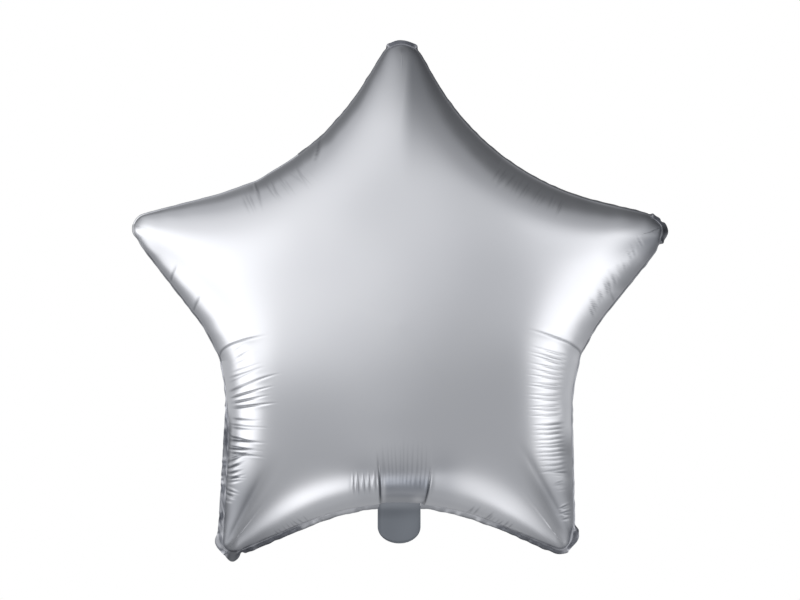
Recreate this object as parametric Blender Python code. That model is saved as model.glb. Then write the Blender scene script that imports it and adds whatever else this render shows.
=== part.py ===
"""Star foil balloon, inflated, with its flat filling neck.

Two foil panels are crowned by the gas and welded together along a flat band round a five-pointed
outline. At the bottom notch the band is open, and the films run on as a flat neck that folds at
its root. Sizes are in metres, +Z is up, the front faces -Y, and the origin is the middle of the
envelope.
"""
import math

import bmesh
import bpy
import numpy as np

# Outer edge of the welded band: a polygon with rounded corners, right half and middle line.
# Columns: name, distance from the middle line, height, start of the rounding along each side.
CORNERS = (
    ("top_tip", 0.0, 0.268, 0.027),
    ("upper_notch", 0.081, 0.140, 0.079),
    ("arm_tip", 0.251, 0.089, 0.021),
    ("side_notch", 0.154, -0.031, 0.046),
    ("leg_tip", 0.162, -0.216, 0.023),
    ("bottom_notch", 0.0, -0.148, 0.077),
)
ARC_STEPS = 6
SIDE_STEPS = 2

GAP = 0.0003                # clearance between neighbouring films
FILM = 0.0010               # thickness of an inflated panel
CROWN = 0.0795              # height of a panel over the plane of the seam
RIM_WALL = 0.0020           # upright strip of a panel where it meets the seam
FLANGE = 0.0035             # width of the welded band outside the inflated rim
BAND = 0.0008               # thickness of the welded band
CORE_RADIUS = 0.223         # the middle of the crown falls off with this radius and power
CORE_POWER = 3.0
TIP_POWER = 2.1             # the crown's fall to the rim: slow and even towards a tip
NOTCH_POWER = 6.0           # and late and steep towards a notch
NOTCH_BLEND = 1.5           # how that changes between the two
EDGE_FROM = 0.45            # share of the way to the rim where its fall begins to rule
EDGE_FULL = 0.80
RINGS = (1.0, 0.97, 0.93, 0.87, 0.79, 0.68, 0.54, 0.38, 0.20)

NECK_HALF_WIDTH = 0.0192
NECK_INSIDE = 0.158         # the neck's root starts this far below the middle
FOLD = 0.1665               # the line where the neck folds, below the middle
NECK_SHOULDER = 0.1817      # the rounded end of the neck starts here
NECK_END = 0.1965
FRONT_LIP = 0.0020          # the front film ends this much short of the back film
LIP_STEPS = 14
NECK_FILM = 0.0005
SEAL_WIDTH = 0.0025         # side weld of the neck
SEAL = 0.0004
ROOT_TO_FOLD = 0.00055      # clearances to the fold line, so that the neck turns freely
SEAL_TO_FOLD = 0.0003
FILM_TO_FOLD = 0.0015
VALVE = 0.0003
VALVE_END = 0.1880

FOIL_COLOUR = (0.77, 0.78, 0.80, 1.0)
WELD_COLOUR = (0.62, 0.63, 0.66, 1.0)
VALVE_COLOUR = (0.84, 0.88, 0.90, 0.5)


def clear_objects():
    for item in list(bpy.data.objects):
        bpy.data.objects.remove(item)


def finish(name, colour, metallic, roughness):
    material = bpy.data.materials.new(name)
    material.use_nodes = True
    shader = material.node_tree.nodes["Principled BSDF"]
    shader.inputs["Base Color"].default_value = colour
    shader.inputs["Metallic"].default_value = metallic
    shader.inputs["Roughness"].default_value = roughness
    shader.inputs["Alpha"].default_value = colour[3]
    return material


def all_corners():
    """The ten corners in order, from the top tip round the right side and back up the left."""
    right = [(x, z, rounding) for name, x, z, rounding in CORNERS]
    left = [(-x, z, rounding) for x, z, rounding in reversed(right[1:-1])]
    return right + left


def unit(dx, dz):
    length = math.hypot(dx, dz)
    return dx / length, dz / length


def corner_arc(before, here, after, inset):
    """Points of one rounded corner, moved inwards by inset."""
    x, z, rounding = here
    ax, az = unit(before[0] - x, before[1] - z)
    bx, bz = unit(after[0] - x, after[1] - z)
    half_angle = math.acos(ax * bx + az * bz) / 2
    radius = rounding * math.tan(half_angle)
    mx, mz = unit(ax + bx, az + bz)
    reach = radius / math.sin(half_angle)
    centre_x, centre_z = x + mx * reach, z + mz * reach
    is_tip = math.hypot(centre_x, centre_z) < math.hypot(x, z)
    start = math.atan2(z + az * rounding - centre_z, x + ax * rounding - centre_x)
    stop = math.atan2(z + bz * rounding - centre_z, x + bx * rounding - centre_x)
    sweep = (stop - start + math.pi) % (2 * math.pi) - math.pi
    radius += -inset if is_tip else inset
    turns = [start + sweep * step / ARC_STEPS for step in range(ARC_STEPS + 1)]
    return [(centre_x + radius * math.cos(a), centre_z + radius * math.sin(a)) for a in turns]


def star_outline(inset):
    """The star's outline as (x, z) points, clockwise as seen from the front."""
    corners = all_corners()
    count = len(corners)
    arcs = [corner_arc(corners[i - 1], corners[i], corners[(i + 1) % count], inset)
            for i in range(count)]
    points = []
    for i, arc in enumerate(arcs):
        points.extend(arc)
        (x0, z0), (x1, z1) = arc[-1], arcs[(i + 1) % count][0]
        for step in range(1, SIDE_STEPS):
            share = step / SIDE_STEPS
            points.append((x0 + (x1 - x0) * share, z0 + (z1 - z0) * share))
    return points


def crown_height(share, radius, notchness):
    """Height of a panel at a share of the way to a rim that lies radius from the middle."""
    core = (share * radius / CORE_RADIUS) ** CORE_POWER
    edge = share ** (TIP_POWER + (NOTCH_POWER - TIP_POWER) * notchness)
    ramp = min(max((share - EDGE_FROM) / (EDGE_FULL - EDGE_FROM), 0.0), 1.0)
    ramp = ramp * ramp * (3 - 2 * ramp)
    return RIM_WALL + (CROWN - RIM_WALL) * (1 - core - (edge - core) * ramp)


def place(name, mesh_builder, material):
    mesh = bpy.data.meshes.new(name)
    mesh_builder.to_mesh(mesh)
    mesh_builder.free()
    mesh.materials.append(material)
    mesh.shade_smooth()
    mesh.set_sharp_from_angle(angle=math.radians(40))
    item = bpy.data.objects.new(name, mesh)
    bpy.context.scene.collection.objects.link(item)
    return item


def crowned_panel(name, facing, material):
    """One inflated panel: rings from the rim to the middle, thickened inwards.

    facing is -1 for the front panel and 1 for the back one.
    """
    rim = star_outline(FLANGE)
    count = len(rim)
    rim_angles = np.unwrap([math.atan2(z, x) for x, z in rim])
    rim_radii = np.array([math.hypot(x, z) for x, z in rim])
    widest, narrowest = rim_radii.max(), rim_radii.min()
    even_angles = rim_angles[0] - 2 * math.pi * np.arange(count) / count

    def rim_radius(angle):
        return float(np.interp(-angle, -rim_angles, rim_radii, period=2 * math.pi))

    def level(height):
        return facing * (BAND / 2 + GAP + height)

    builder = bmesh.new()
    rings = [[builder.verts.new((x, level(0.0), z)) for x, z in rim]]
    for share in RINGS:
        ring = []
        for i in range(count):
            angle = even_angles[i] + (rim_angles[i] - even_angles[i]) * share
            radius = rim_radius(angle)
            notchness = ((widest - radius) / (widest - narrowest)) ** NOTCH_BLEND
            height = crown_height(share, radius, notchness)
            x, z = share * radius * math.cos(angle), share * radius * math.sin(angle)
            ring.append(builder.verts.new((x, level(height), z)))
        rings.append(ring)
    middle = builder.verts.new((0.0, level(CROWN), 0.0))

    for outer, inner in zip(rings, rings[1:]):
        for i in range(count):
            j = (i + 1) % count
            builder.faces.new((outer[i], inner[i], inner[j], outer[j]))
    for i in range(count):
        builder.faces.new((rings[-1][i], middle, rings[-1][(i + 1) % count]))
    if facing > 0:
        bmesh.ops.reverse_faces(builder, faces=builder.faces[:])

    panel = place(name, builder, material)
    shell = panel.modifiers.new("film", "SOLIDIFY")
    shell.thickness = FILM
    shell.offset = -1.0
    shell.use_even_offset = True
    return panel


def flat_plate(name, outline, y_low, y_high, material):
    """A flat piece between two levels, from its outline in the seam's plane."""
    builder = bmesh.new()
    low = [builder.verts.new((x, y_low, z)) for x, z in outline]
    face = builder.faces.new(low)
    moved = bmesh.ops.extrude_face_region(builder, geom=[face])
    raised = [item for item in moved["geom"] if isinstance(item, bmesh.types.BMVert)]
    bmesh.ops.translate(builder, verts=raised, vec=(0.0, y_high - y_low, 0.0))
    bmesh.ops.recalc_face_normals(builder, faces=builder.faces[:])
    return place(name, builder, material)


def box_outline(x_low, x_high, z_low, z_high):
    return [(x_low, z_low), (x_high, z_low), (x_high, z_high), (x_low, z_high)]


def welded_band(material):
    """The flat band outside the rim, gripped by both panels and open where the neck passes."""
    outer = star_outline(0.0)
    inner = star_outline(FLANGE + FILM)
    count = len(outer)
    builder = bmesh.new()
    loops = [[builder.verts.new((x, y, z)) for x, z in line]
             for line, y in ((outer, -BAND / 2), (outer, BAND / 2),
                             (inner, BAND / 2), (inner, -BAND / 2))]
    for loop, following in zip(loops, loops[1:] + loops[:1]):
        for i in range(count):
            j = (i + 1) % count
            builder.faces.new((loop[i], loop[j], following[j], following[i]))
    bmesh.ops.recalc_face_normals(builder, faces=builder.faces[:])
    band = place("edge_seal", builder, material)

    half = NECK_HALF_WIDTH + GAP
    cutter = flat_plate("neck_gap_cutter", box_outline(-half, half, -NECK_END, -NECK_INSIDE + BAND),
                        -2 * BAND, 2 * BAND, material)
    cutter.hide_render = True
    cutter.display_type = "WIRE"
    cut = band.modifiers.new("neck_gap", "BOOLEAN")
    cut.operation = "DIFFERENCE"
    cut.solver = "EXACT"
    cut.object = cutter
    return band


def neck_outline(top, end):
    """A straight-sided strip from top down to the shoulder, closed by half an ellipse."""
    drop = end - NECK_SHOULDER
    points = [(NECK_HALF_WIDTH, -top)]
    for step in range(LIP_STEPS + 1):
        turn = math.pi * step / LIP_STEPS
        points.append((NECK_HALF_WIDTH * math.cos(turn), -NECK_SHOULDER - drop * math.sin(turn)))
    points.append((-NECK_HALF_WIDTH, -top))
    return points


def neck(film_finish, weld_finish, valve_finish):
    """The flat filling neck: its root in the seam, two films, two side welds and the valve."""
    flat_plate("neck_root", box_outline(-NECK_HALF_WIDTH, NECK_HALF_WIDTH,
                                        -FOLD + ROOT_TO_FOLD, -NECK_INSIDE),
               -BAND / 2, BAND / 2, film_finish)

    inner_face = SEAL / 2 + GAP
    outer_face = inner_face + NECK_FILM
    layers = (
        ("neck_front_film", NECK_END - FRONT_LIP, -outer_face, -inner_face),
        ("neck_back_film", NECK_END, inner_face, outer_face),
    )
    for name, end, y_low, y_high in layers:
        flat_plate(name, neck_outline(FOLD + FILM_TO_FOLD, end), y_low, y_high, film_finish)

    welds = (
        ("neck_left_weld", -NECK_HALF_WIDTH, SEAL_WIDTH - NECK_HALF_WIDTH),
        ("neck_right_weld", NECK_HALF_WIDTH - SEAL_WIDTH, NECK_HALF_WIDTH),
    )
    for name, x_low, x_high in welds:
        flat_plate(name, box_outline(x_low, x_high, -NECK_SHOULDER, -FOLD - SEAL_TO_FOLD),
                   -SEAL / 2, SEAL / 2, weld_finish)

    valve_half = NECK_HALF_WIDTH - SEAL_WIDTH - GAP
    flat_plate("valve_film", box_outline(-valve_half, valve_half, -VALVE_END,
                                         -FOLD - SEAL_TO_FOLD),
               -VALVE / 2, VALVE / 2, valve_finish)


def build():
    clear_objects()
    foil = finish("foil", FOIL_COLOUR, 1.0, 0.32)
    weld = finish("weld", WELD_COLOUR, 1.0, 0.38)
    valve = finish("valve", VALVE_COLOUR, 0.0, 0.2)
    crowned_panel("front_panel", -1, foil)
    crowned_panel("back_panel", 1, foil)
    welded_band(weld)
    neck(foil, weld, valve)


build()
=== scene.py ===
# Looks of the star foil balloon: satin silver film, its welded rim and the flat filling neck.
# Metres, +Z up, the front faces -Y, and the origin is the middle of the inflated body.
import math

import bmesh
import bpy
import numpy as np
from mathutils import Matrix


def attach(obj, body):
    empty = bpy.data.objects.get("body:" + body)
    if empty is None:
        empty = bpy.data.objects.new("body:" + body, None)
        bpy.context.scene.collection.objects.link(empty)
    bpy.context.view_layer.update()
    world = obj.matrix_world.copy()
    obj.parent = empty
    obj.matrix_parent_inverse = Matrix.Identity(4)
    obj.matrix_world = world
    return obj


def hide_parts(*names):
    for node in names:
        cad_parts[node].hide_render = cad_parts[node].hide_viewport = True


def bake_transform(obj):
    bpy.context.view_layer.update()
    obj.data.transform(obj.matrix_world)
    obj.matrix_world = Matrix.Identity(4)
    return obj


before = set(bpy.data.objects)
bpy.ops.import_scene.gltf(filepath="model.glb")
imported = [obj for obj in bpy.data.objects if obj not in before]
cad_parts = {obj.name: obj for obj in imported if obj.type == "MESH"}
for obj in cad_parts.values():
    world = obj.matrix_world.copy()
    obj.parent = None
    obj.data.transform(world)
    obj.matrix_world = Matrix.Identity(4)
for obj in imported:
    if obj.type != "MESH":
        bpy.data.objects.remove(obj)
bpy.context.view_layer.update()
print("frame loaded, nodes:", len(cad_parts))


# The star's outline: a polygon with rounded corners, five tips and five notches, a little lopsided.
starCut = dict(
    # distance to the right, height, start of the rounding along each side, clockwise
    corners=(
        (0.0020, 0.2680, 0.029),         # top tip
        (0.0800, 0.1324, 0.100),
        (0.2500, 0.0930, 0.021),         # right arm
        (0.1522, -0.0310, 0.050),
        (0.1560, -0.2160, 0.021),        # right leg
        (0.0000, -0.1465, 0.077),
        (-0.1635, -0.2130, 0.023),       # left leg
        (-0.1524, -0.0310, 0.047),
        (-0.2485, 0.0900, 0.021),        # left arm
        (-0.0795, 0.1343, 0.094),
    ),
    arcSteps=24,             # points of each rounded corner
    rimInset=0.0010,         # the inflated rim lies this far inside the outline
    weldShown=0.0036,        # and this much further in where the weld shows from the front
    shiftEvened=7,           # columns to each side over which the rim's moves are evened
    lean=0.10,               # left arm and right leg sit a little higher than their mirror images
)


def cornerArc(before, here, after, inset):
    # points of one rounded corner, moved inwards by inset
    corner, rounding = np.array(here[:2]), here[2]
    toBefore = np.array(before[:2]) - corner
    toBefore /= np.linalg.norm(toBefore)
    toAfter = np.array(after[:2]) - corner
    toAfter /= np.linalg.norm(toAfter)
    halfAngle = math.acos(toBefore @ toAfter) / 2
    radius = rounding * math.tan(halfAngle)
    inward = (toBefore + toAfter) / np.linalg.norm(toBefore + toAfter)
    centre = corner + inward * radius / math.sin(halfAngle)
    isTip = np.linalg.norm(centre) < np.linalg.norm(corner)
    first = corner + toBefore * rounding - centre
    last = corner + toAfter * rounding - centre
    start = math.atan2(first[1], first[0])
    sweep = (math.atan2(last[1], last[0]) - start + math.pi) % (2 * math.pi) - math.pi
    radius += -inset if isTip else inset
    turns = start + sweep * np.linspace(0, 1, starCut["arcSteps"] + 1)
    return centre + radius * np.stack([np.cos(turns), np.sin(turns)], 1)


def halfArmRims(inset):
    # ten runs of the outline, each from the middle of a notch to the middle of a tip beside it
    corners = starCut["corners"]
    count = len(corners)
    arcs = [cornerArc(corners[i - 1], corners[i], corners[(i + 1) % count], inset) for i in range(count)]
    half = starCut["arcSteps"] // 2
    runs = []
    for i in range(count):
        here, following = arcs[i], arcs[(i + 1) % count]
        run = np.vstack([here[half:], following[:half + 1]])
        runs.append(run if i % 2 else run[::-1])
    return runs


def alongRun(run, distances):
    steps = np.linalg.norm(np.diff(run, axis=0), axis=1)
    along = np.concatenate([[0], np.cumsum(steps)])
    return np.stack([np.interp(distances, along, run[:, k]) for k in range(2)], 1)


def runLength(run):
    return float(np.linalg.norm(np.diff(run, axis=0), axis=1).sum())


# How finely the body's mesh follows the rim, and how it gets coarser towards the middle.
bodyMesh = dict(
    armColumns=(118, 160, 320, 320, 150),    # columns of a half arm, clockwise from the top arm
    notchStep=0.0009,        # relative spacing of the columns at a notch, on the straight and at a tip
    straightStep=0.0014,
    tipStep=0.0011,
    notchReach=(0.055, 0.100),
    tipReach=(0.012, 0.040),
    rows=40,
    rowPower=1.85,
    rimSamples=2000,
    tipEnd=0.006,            # the spine stops this far inside the tip
    spineProbe=0.0005,       # half the distance over which the rim's direction is measured
    spineEvened=6,           # columns to each side over which the spread along the spine is evened
    solveSteps=4000,
    solveTolerance=1e-11,
)


def smoothStep(low, high, value):
    share = np.clip((value - low) / (high - low), 0, 1)
    return share * share * (3 - 2 * share)


def armOf(halfArm):
    return (halfArm + 1) // 2 % len(bodyMesh["armColumns"])


def columnShares(length, columns):
    # where the columns stand along a half arm's rim, from the notch to the tip
    s = np.linspace(0, length, bodyMesh["rimSamples"])
    far = smoothStep(*bodyMesh["notchReach"], s)
    near = 1 - smoothStep(*bodyMesh["tipReach"], length - s)
    step = bodyMesh["notchStep"] + (bodyMesh["straightStep"] - bodyMesh["notchStep"]) * far
    step = step + (bodyMesh["tipStep"] - step) * near
    density = np.concatenate([[0], np.cumsum(0.5 * (1 / step[1:] + 1 / step[:-1]))])
    return np.interp(np.linspace(0, density[-1], columns + 1), density, s) / length


def spineReach(run, distances):
    # how far out on the arm's spine each column ends: between the rim's normal and an even spread
    tip = run[-1]
    out = tip / np.linalg.norm(tip)
    side = np.array([-out[1], out[0]])
    probe, evened = bodyMesh["spineProbe"], bodyMesh["spineEvened"]
    ahead = alongRun(run, distances + probe) - alongRun(run, distances - probe)
    points = alongRun(run, distances)
    along, across = points @ out, points @ side
    slope = (ahead @ side) / np.maximum(ahead @ out, 1e-5)
    end = np.linalg.norm(tip) - bodyMesh["tipEnd"]
    normal = np.clip(along + across * slope, 0, end)
    even = end * distances / distances[-1]
    reach = np.maximum.accumulate(0.5 * np.maximum.accumulate(normal) + 0.5 * even)
    kernel = np.ones(2 * evened + 1) / (2 * evened + 1)
    reach = np.convolve(np.pad(reach, evened, mode="reflect", reflect_type="odd"), kernel, "valid")
    reach -= reach[0]
    return reach * end / reach[-1]


def halfArmColumns():
    # each half arm: its run, its length, how far from the notch its columns stand, and their order clockwise
    halves = []
    for i, run in enumerate(halfArmRims(starCut["rimInset"])):
        length = runLength(run)
        columns = bodyMesh["armColumns"][armOf(i)]
        order = np.arange(columns) if i % 2 else np.arange(columns, 0, -1)
        halves.append((run, length, columnShares(length, columns) * length, order))
    return halves


def starGrid():
    # the flat star as a grid of points: columns run from the rim to the spine of their arm,
    # row by row from the rim, and the points of the five spines and the middle come last
    halves = halfArmColumns()
    rows = bodyMesh["rows"]
    before = np.concatenate([[0], np.cumsum(bodyMesh["armColumns"])])
    reaches = [spineReach(run, distances) for run, length, distances, order in halves]
    rim, inner, spineIds = [], [], []
    spines = np.zeros((before[-1] + 1, 2))
    middle = before[-1]
    for i, (run, length, distances, order) in enumerate(halves):
        arm = armOf(i)
        reach = 0.5 * (reaches[i] + reaches[(i + 1) % len(halves) if i % 2 else i - 1])
        onSpine = reach[:, None] * run[-1] / np.linalg.norm(run[-1])
        spines[before[arm]:before[arm + 1]] = onSpine[1:]
        rim.append(alongRun(run, distances)[order])
        inner.append(onSpine[order])
        spineIds.append(np.where(order == 0, middle, before[arm] + order - 1))
    rim, inner, spineIds = np.vstack(rim), np.vstack(inner), np.concatenate(spineIds)
    fall = (np.arange(rows) / rows) ** bodyMesh["rowPower"]
    points = [rim + (inner - rim) * share for share in fall] + [spines]
    count = len(rim)
    here = np.arange(count)
    following = (here + 1) % count
    spineIds = spineIds + rows * count
    quads = [row * count + np.stack([here, following, following + count, here + count], 1)
             for row in range(rows - 1)]
    last = (rows - 1) * count
    quads.append(np.stack([last + here, last + following, spineIds[following], spineIds[here]], 1))
    return np.vstack(points), np.vstack(quads), count


def blownHeight(flat, quads, fixedCount):
    # an even film blown up over the flat star, held along the rim: solved by conjugate gradients
    tris = np.vstack([quads[:, [0, 1, 2]], quads[:, [0, 2, 3]]])
    tris = tris[(tris[:, 0] != tris[:, 1]) & (tris[:, 1] != tris[:, 2]) & (tris[:, 2] != tris[:, 0])]
    count = len(flat)
    first, second, weight = [], [], []
    area = np.zeros(count)
    for k in range(3):
        p, q, r = (flat[tris[:, (k + m) % 3]] for m in range(3))
        a, b = q - p, r - p
        cross = np.abs(a[:, 0] * b[:, 1] - a[:, 1] * b[:, 0]) + 1e-12
        first.append(tris[:, (k + 1) % 3])
        second.append(tris[:, (k + 2) % 3])
        weight.append(0.5 * (a * b).sum(1) / cross)
        area += np.bincount(tris[:, k], cross / 6, count)
    low = np.minimum(np.concatenate(first), np.concatenate(second))
    high = np.maximum(np.concatenate(first), np.concatenate(second))
    keys, place = np.unique(low * count + high, return_inverse=True)
    weight = np.bincount(place.ravel(), np.concatenate(weight))
    low, high = keys // count, keys % count
    diagonal = np.bincount(low, weight, count) + np.bincount(high, weight, count)
    diagonal[diagonal == 0] = 1
    free = np.ones(count)
    free[:fixedCount] = 0

    def stiffness(x):
        pull = weight * (x[low] - x[high])
        return (np.bincount(low, pull, count) - np.bincount(high, pull, count)) * free

    height = np.zeros(count)
    rest = area * free
    scaled = rest / diagonal
    step = scaled.copy()
    energy = rest @ scaled
    target = energy * bodyMesh["solveTolerance"]
    for turn in range(bodyMesh["solveSteps"]):
        moved = stiffness(step)
        share = energy / (step @ moved)
        height += share * step
        rest -= share * moved
        scaled = rest / diagonal
        following = rest @ scaled
        if following < target:
            break
        step = scaled + step * (following / energy)
        energy = following
    print("film solved in", turn, "steps")
    return height / height.max()


# The blown-up form: how deep the body is over the flat star.
bodyForm = dict(
    halfDepth=0.0800,
    profileSteps=800,
    filmRounding=0.70,       # along the arms the film rounds like a soap film by this share,
    notchFrom=(0.04, 0.14),  # and towards the notches, from here outwards, it stays full and falls late
    neckFullness=(0.26, 0.36),       # it is fuller at the neck: by this much, within this angle,
    fullFrom=(0.085, 0.140),         # and from here outwards
    runOutReach=0.012,       # over this distance from the rim the film runs flat into the neck
    runOutPower=0.60,
    shiftReach=0.012,        # how far in the body follows where its rim is moved in
    waveEnd=0.09,            # and where the seam's wave ends
    foldsRise=0.004,         # folds and puckers reach their height this far from the rim
    spineDistance=0.1,       # the spines count as this far from the rim
)

# Where painted shade and painted light go on the film, and where it is rougher. Places are distances to the
# right and heights.
tips = dict(top=(0.002, 0.253), rightArm=(0.240, 0.083), rightLeg=(0.145, -0.205),
            leftLeg=(-0.150, -0.203), leftArm=(-0.240, 0.083))
filmTone = dict(
    neckShade=(              # painted shade between the neck's creases: height and share
        (-0.168, 1.00), (-0.1600, 1.00), (-0.1576, 0.96), (-0.1558, 0.90), (-0.1531, 0.78), (-0.1500, 0.72),
        (-0.1469, 0.60), (-0.1415, 0.88), (-0.1362, 0.95), (-0.1308, 0.70), (-0.1255, 0.42), (-0.1202, 0.20),
        (-0.1148, 0.10), (-0.104, 0.0)),
    neckRimRadius=0.174,     # these heights hold in the middle and follow the rim's curve beside it
    neckLight=(              # spots of painted light there, where the painted shade is lessened: distance to the right, how wide, height, how high, share
        (-0.0143, 0.0022, -0.1470, 0.0110, 0.70),
        (0.0160, 0.0050, -0.1545, 0.0050, 0.75)),
    besideNeckShade=(             # spots of painted shade beside the creases, in the same terms
        (-0.0300, 0.0130, -0.136, 0.015, 0.36),
        (0.0370, 0.0150, -0.134, 0.018, 0.38)),
    edgeShadeAndDull=(               # painted shade and higher roughness along half arms' edges: which, reach, share, from and to along it
        (6, (0.0025, 0.0070), 0.90, (0.052, 0.160)),
        (3, (0.0080, 0.0180), 0.58, (0.070, 0.160)),
        (7, (0.001, 0.011), 0.58, (0.000, 0.140)),
        (2, (0.003, 0.016), 0.32, (0.015, 0.090)),
        (2, (0.009, 0.030), 0.62, (0.072, 0.150)),
        (9, (0.001, 0.014), 0.42, (-0.020, 0.170)),
        (0, (0.001, 0.014), 0.42, (-0.020, 0.170)),
        (1, (0.001, 0.012), 0.30, (-0.020, 0.100)),
        (8, (0.001, 0.016), 0.40, (-0.020, 0.060))),
    edgeSoft=(0.01, 0.02),   # over these lengths they set in and end
    tipShadeAndDull=(                # painted shade, and higher roughness from crumples, near the tips: which, reach, share, on which side of the arm's ridge (0 is both, else right or left), the ridge's slope, and how softly it ends there
        # ridge (0 is both, else right or left), the ridge's slope, and how softly it ends there
        ("top", (0.020, 0.140), 0.78, 1, 0.0, (-0.005, 0.010)),
        ("top", (0.012, 0.090), 0.52, 0, 0.0, None),
        ("rightArm", (0.002, 0.056), 0.98, 0, 0.0, None),
        ("rightArm", (0.014, 0.074), 0.95, 1, 2.9, (-0.050, 0.010)),
        ("leftArm", (0.010, 0.070), 0.45, -1, -2.9, (-0.015, 0.060)),
        ("rightLeg", (0.050, 0.105), 0.72, 1, -0.53, (-0.005, 0.010)),
        ("rightLeg", (0.010, 0.070), 0.40, 0, 0.0, None),
        ("leftLeg", (0.050, 0.110), 0.80, -1, 0.53, (-0.005, 0.010)),
        ("leftLeg", (0.015, 0.085), 0.60, 0, 0.0, None)),
)

# The two creases where the body runs into the neck, from below upwards, how softly the film changes
# across them, and the height below which it does.
neckCreases = dict(
    left=((-0.0176, -0.1660), (-0.0168, -0.1560), (-0.0184, -0.1240), (-0.0200, -0.1080)),
    right=((0.0185, -0.1660), (0.0212, -0.1590), (0.0256, -0.1400), (0.0272, -0.1180)),
    soft=(-0.0008, 0.0016),
    below=-0.08,
)


def foilProfile(film):
    # section of a round foil balloon, where the film can't stretch
    p = np.linspace(0, 1, bodyForm["profileSteps"] + 1)
    rise = np.sqrt((1 - p ** 2) / (2 - p ** 2))
    total = np.concatenate([[0], np.cumsum(0.5 * (rise[1:] + rise[:-1]))])
    return np.interp(np.sqrt(np.clip(film, 0, 1)), p, total / total[-1])


def crownDepth(flat, film):
    turn = np.arctan2(flat[:, 1], flat[:, 0])
    radius = np.hypot(flat[:, 0], flat[:, 1])
    notchness = 0.5 - 0.5 * np.cos(len(bodyMesh["armColumns"]) * (turn - math.pi / 2))
    notchness *= smoothStep(*bodyForm["notchFrom"], radius)
    fuller, within = bodyForm["neckFullness"]
    nearNeck = np.exp(-((turn + math.pi / 2) / within) ** 2) * smoothStep(*bodyForm["fullFrom"], radius)
    film = np.clip(film, 0, 1) ** (1 - fuller * nearNeck)
    stiff = foilProfile(film)
    soft = np.sqrt(np.clip(film, 0, 1))
    along = bodyForm["filmRounding"] * soft + (1 - bodyForm["filmRounding"]) * stiff
    return bodyForm["halfDepth"] * (along + (stiff - along) * notchness)


# The seam's slow wave to the front and back, in metres, the same for the body and the weld.
seamWave = dict(
    seed=11,
    parts=6,
    waveLengths=(0.016, 0.055),
    heights=dict(straight=0.0003, notch=0.0006, legSide=0.0010),
    notchReach=(0.02, 0.05),
    legReach=(0.11, 0.14),
    fadeInward=0.010,
)


def rimFrame():
    # rim points in travel order, clockwise from the top tip, with their inward directions
    halves = halfArmColumns()
    points = np.vstack([alongRun(run, distances)[order] for run, length, distances, order in halves])
    tangent = np.roll(points, -1, axis=0) - np.roll(points, 1, axis=0)
    tangent /= np.linalg.norm(tangent, axis=1)[:, None]
    return dict(
        points=points, inward=np.stack([tangent[:, 1], -tangent[:, 0]], 1),
        run=np.repeat(range(len(halves)), [len(order) for run, length, distances, order in halves]),
        along=np.concatenate([distances[order] for run, length, distances, order in halves]),
        left=np.concatenate([(length - distances)[order] for run, length, distances, order in halves]))


# Where the weld stands out flat and shows from the front: half arms, share at first and at last, and from
# and to, measured along from the notch or from what is left to the tip.
weldShows = (
    dict(arms=(4, 5), shares=(0.45, 1.0), measure="along", reach=(0.030, 0.090)),
    dict(arms=(6,), shares=(0.0, 1.0), measure="along", reach=(0.026, 0.070)),
    dict(arms=(3,), shares=(1.0, 0.0), measure="left", reach=(0.008, 0.030)),
    dict(arms=(1, 2), shares=(1.0, 0.0), measure="left", reach=(0.010, 0.022)),
    dict(arms=(9, 0), shares=(0.7, 0.0), measure="left", reach=(0.008, 0.018)),
    dict(arms=(7, 8), shares=(0.1, 0.0), measure="left", reach=(0.008, 0.018)),
)


def weldShowing(rim):
    # 1 where the weld stands out flat and shows from the front, 0 where it is folded back
    shown = np.zeros(len(rim["run"]))
    for part in weldShows:
        mine = np.isin(rim["run"], part["arms"])
        first, last = part["shares"]
        shown[mine] = first + (last - first) * smoothStep(*part["reach"], rim[part["measure"]][mine])
    return shown


# Small places where the outline or the weld's edge departs from the plain cut, seen from the front:
# where, how far around, and how far in it goes, or how much wider the weld is and how much painted shade or
# painted light it gets.
edgeMarks = dict(
    upperLeftStep=dict(at=(-0.1255, 0.1225), reach=0.008, inward=0.0014),
    upperLeftKink=dict(at=(-0.0690, 0.1650), reach=0.007, inward=0.0008),
    leftNotchKink=dict(at=(-0.1590, -0.0300), reach=0.006, inward=0.0016),
    rightNotchKink=dict(at=(0.1610, -0.0290), reach=0.006, inward=0.0016),
    leftTipStep=dict(at=(-0.2350, 0.0720), reach=0.005, inward=0.0016),
    rightTipBody=dict(at=(0.2390, 0.0830), reach=0.016, inward=0.0030),
)

weldMarks = dict(
    rightTipDip=dict(at=(0.2330, 0.0930), reach=0.0022, width=-0.0040),
    rightTipLobe=dict(at=(0.2400, 0.0820), reach=0.0090, width=0.0030, dark=0.5),
    rightTipShade=dict(at=(0.2400, 0.0840), reach=0.0130, dark=0.4),
    leftTipLight=dict(at=(-0.2380, 0.0850), reach=0.0200, paintedLight=1.0),
    rightTipUnder=dict(at=(0.2300, 0.0700), reach=0.0030, width=-0.0030),
    leftTipCurl=dict(at=(-0.2370, 0.0715), reach=0.0030, width=0.0016),
    leftLegDip=dict(at=(-0.1410, -0.2010), reach=0.0024, width=-0.0050),
    leftLegLobe=dict(at=(-0.1485, -0.2040), reach=0.0050, width=0.0034, dark=1.0),
    leftLegSide=dict(at=(-0.1610, -0.1910), reach=0.0060, width=0.0022),
    bottomRightNarrow=dict(at=(0.0980, -0.1750), reach=0.0180, width=-0.0016),
    rightLegDip=dict(at=(0.1440, -0.2040), reach=0.0022, width=-0.0036),
    rightLegLobe=dict(at=(0.1550, -0.1930), reach=0.0070, width=0.0040),
)


def marked(points, marks, key):
    amount = np.zeros(len(points))
    for mark in marks.values():
        distance = np.linalg.norm(points - np.array(mark["at"]), axis=1)
        amount += mark.get(key, 0) * np.exp(-(distance / mark["reach"]) ** 2)
    return amount


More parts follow.
